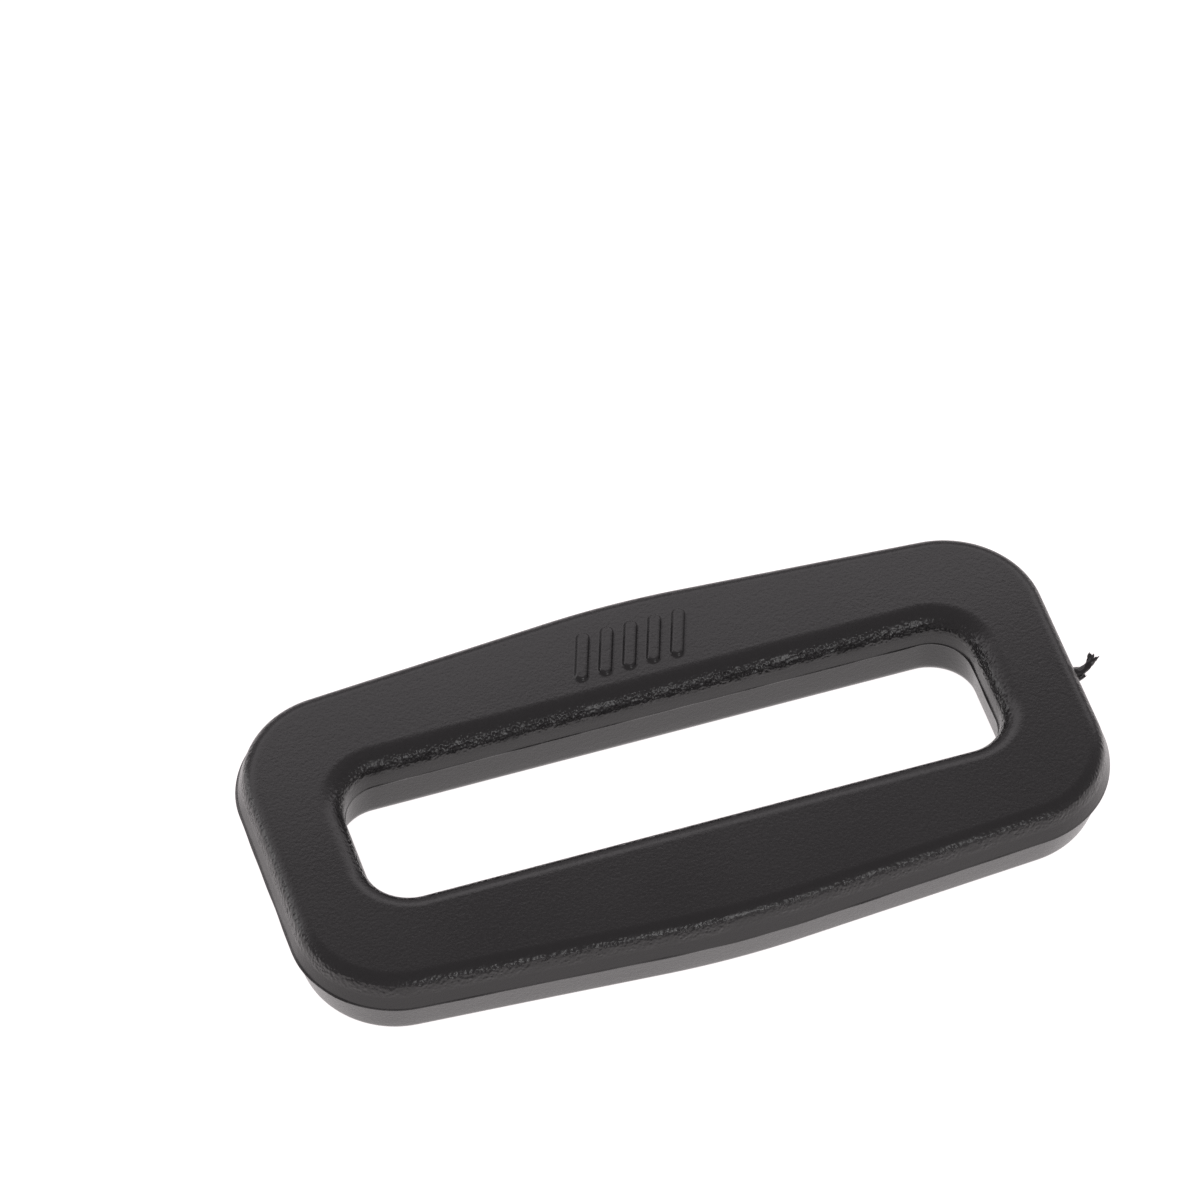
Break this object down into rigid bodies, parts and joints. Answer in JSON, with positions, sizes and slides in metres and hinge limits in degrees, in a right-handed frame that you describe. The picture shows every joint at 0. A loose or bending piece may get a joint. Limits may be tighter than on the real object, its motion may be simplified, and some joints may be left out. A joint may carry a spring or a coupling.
{
  "type": "webbing slider loop",
  "caption": "Moulded plastic slider loop for flat webbing: rounded oblong ring with one long slot, softly bowed long bars and a small row of raised grip ribs.",
  "frame": {"origin": "centre of the slot, halfway up the thickness", "axes": "+X along the slot, +Y across the slot to the bar with the grip ribs, +Z out of the ribbed face"},
  "size_m": [0.0398, 0.0194, 0.0044],
  "materials": {
    "plastic": "charcoal black, fine spark-eroded mould grain with a soft sheen"
  },
  "bodies": {
    "root": {"strap_loop": "plastic"}
  },
  "joints": []
}
